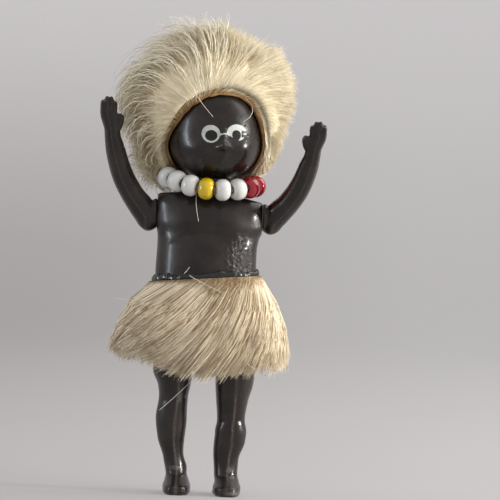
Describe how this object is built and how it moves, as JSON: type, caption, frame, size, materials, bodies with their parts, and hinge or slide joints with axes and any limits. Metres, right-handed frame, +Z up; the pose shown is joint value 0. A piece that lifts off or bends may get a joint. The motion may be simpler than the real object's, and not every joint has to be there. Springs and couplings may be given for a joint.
{
  "type": "souvenir doll",
  "caption": "Small standing moulded plastic souvenir doll with raised arms, a fur headdress, a bead necklace and a fur skirt.",
  "frame": {"origin": "on the surface that the doll stands on, under the middle of its outline", "axes": "+Z up from the soles to the crown, the doll faces -Y, and its left hand is on the +X side"},
  "size_m": [0.0568, 0.039, 0.1176],
  "materials": {
    "dark_plastic": "dark brown-black moulded plastic, satin to glossy, with rubbed seams and painted eyes",
    "cream_fur": "cream animal hair on a brown hide",
    "cotton": "twisted off-white thread",
    "white_glass": "glossy opaque white glass",
    "yellow_glass": "glossy opaque yellow glass",
    "red_glass": "glossy opaque red glass"
  },
  "bodies": {
    "root": {"head": "dark_plastic", "torso": "dark_plastic", "right_arm": "dark_plastic", "left_arm": "dark_plastic", "right_leg": "dark_plastic", "left_leg": "dark_plastic", "fur_headdress": "cream_fur", "fur_skirt": "cream_fur", "necklace_thread": "cotton", "bead_01": "white_glass", "bead_02": "white_glass", "bead_03": "red_glass", "bead_04": "red_glass", "bead_05": "white_glass", "bead_06": "white_glass", "bead_07": "yellow_glass", "bead_08": "white_glass", "bead_09": "white_glass", "bead_10": "red_glass", "bead_11": "white_glass", "bead_12": "white_glass", "bead_13": "white_glass", "bead_14": "white_glass", "bead_15": "white_glass", "bead_16": "yellow_glass"}
  },
  "joints": []
}
